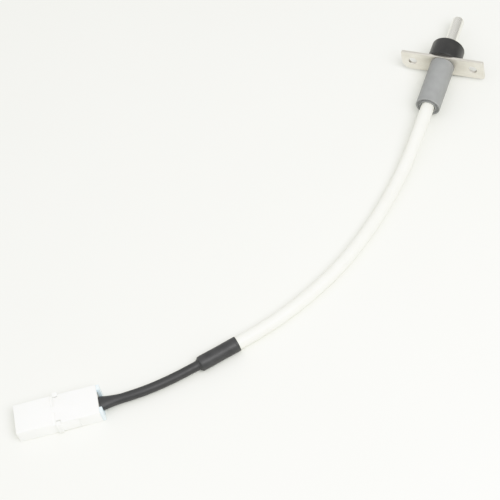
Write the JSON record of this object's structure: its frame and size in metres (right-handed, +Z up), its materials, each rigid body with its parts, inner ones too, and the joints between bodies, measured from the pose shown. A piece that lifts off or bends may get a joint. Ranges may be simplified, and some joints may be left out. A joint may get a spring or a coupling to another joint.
{
  "type": "flame sensor probe",
  "caption": "Flanged flame sensor probe with a metal stem, black collar, grey boot and sleeved lead ending in a white two-way connector.",
  "frame": {"origin": "on the probe's axis, in the plane of the flange's mounting face, which is the face on the tip's side", "axes": "+Y along the probe's axis towards its tip, +X along the flange, +Z up from the table that the part lies on"},
  "size_m": [0.1248, 0.2154, 0.013],
  "materials": {
    "stainless": "drawn stainless tube, fine lengthwise grain",
    "plate_steel": "rolled stainless sheet, satin",
    "black_rubber": "moulded black rubber, semi-matte",
    "grey_rubber": "grey silicone, matte",
    "bead_ceramic": "unglazed alumina",
    "element_alloy": "drawn alloy wire",
    "tinned_copper": "tinned copper strands, solid here",
    "tinned_brass": "tin-plated brass",
    "potting": "cured silicone",
    "white_sleeving": "warm white silicone sleeving, soft sheen",
    "black_shrink": "shrunk polyolefin, semi-matte",
    "black_jacket": "PVC jacket, semi-matte",
    "white_nylon": "moulded nylon, satin",
    "pale_blue": "moulded nylon, satin, pale blue"
  },
  "bodies": {
    "probe": {"probe_stem": "stainless", "sensing_bead": "bead_ceramic", "tip_filler": "bead_ceramic", "ceramic_insulator": "bead_ceramic", "element_wire_a": "element_alloy", "element_wire_b": "element_alloy", "flange_bush": "stainless", "flange_plate": "plate_steel", "sealing_collar": "black_rubber", "lead_boot": "grey_rubber", "head_ferrule_a": "tinned_brass", "head_ferrule_b": "tinned_brass", "lead_core_a": "tinned_copper", "lead_core_b": "tinned_copper", "potting_plug": "potting", "white_lead": "white_sleeving", "joint_sleeve": "black_shrink", "joint_ferrule_a": "tinned_brass", "joint_ferrule_b": "tinned_brass", "joint_core_a": "tinned_copper", "joint_core_b": "tinned_copper", "black_cable": "black_jacket", "cable_boot": "black_jacket", "connector_wire_a": "black_jacket", "connector_wire_b": "black_jacket", "contact_a": "tinned_brass", "contact_b": "tinned_brass", "connector_housing": "white_nylon"},
    "latch_left": {"latch_arm_left": "white_nylon"},
    "latch_right": {"latch_arm_right": "white_nylon"},
    "retainer": {"terminal_retainer": "pale_blue"}
  },
  "joints": [
    {"name": "left_latch", "type": "hinge", "parent": "probe", "child": "latch_left", "pos_m": [-0.08887, -0.17132, -0.00355], "axis": [0, 0, 1], "range_deg": [0, 3.5], "stiffness_Nm_per_rad": 0.02},
    {"name": "right_latch", "type": "hinge", "parent": "probe", "child": "latch_right", "pos_m": [-0.08326, -0.18108, -0.00355], "axis": [0, 0, -1], "range_deg": [0, 3.5], "stiffness_Nm_per_rad": 0.02},
    {"name": "retainer_slide", "type": "slide", "parent": "probe", "child": "retainer", "axis": [0.8669, 0.4985, 0], "range_m": [0, 0.0025]}
  ]
}
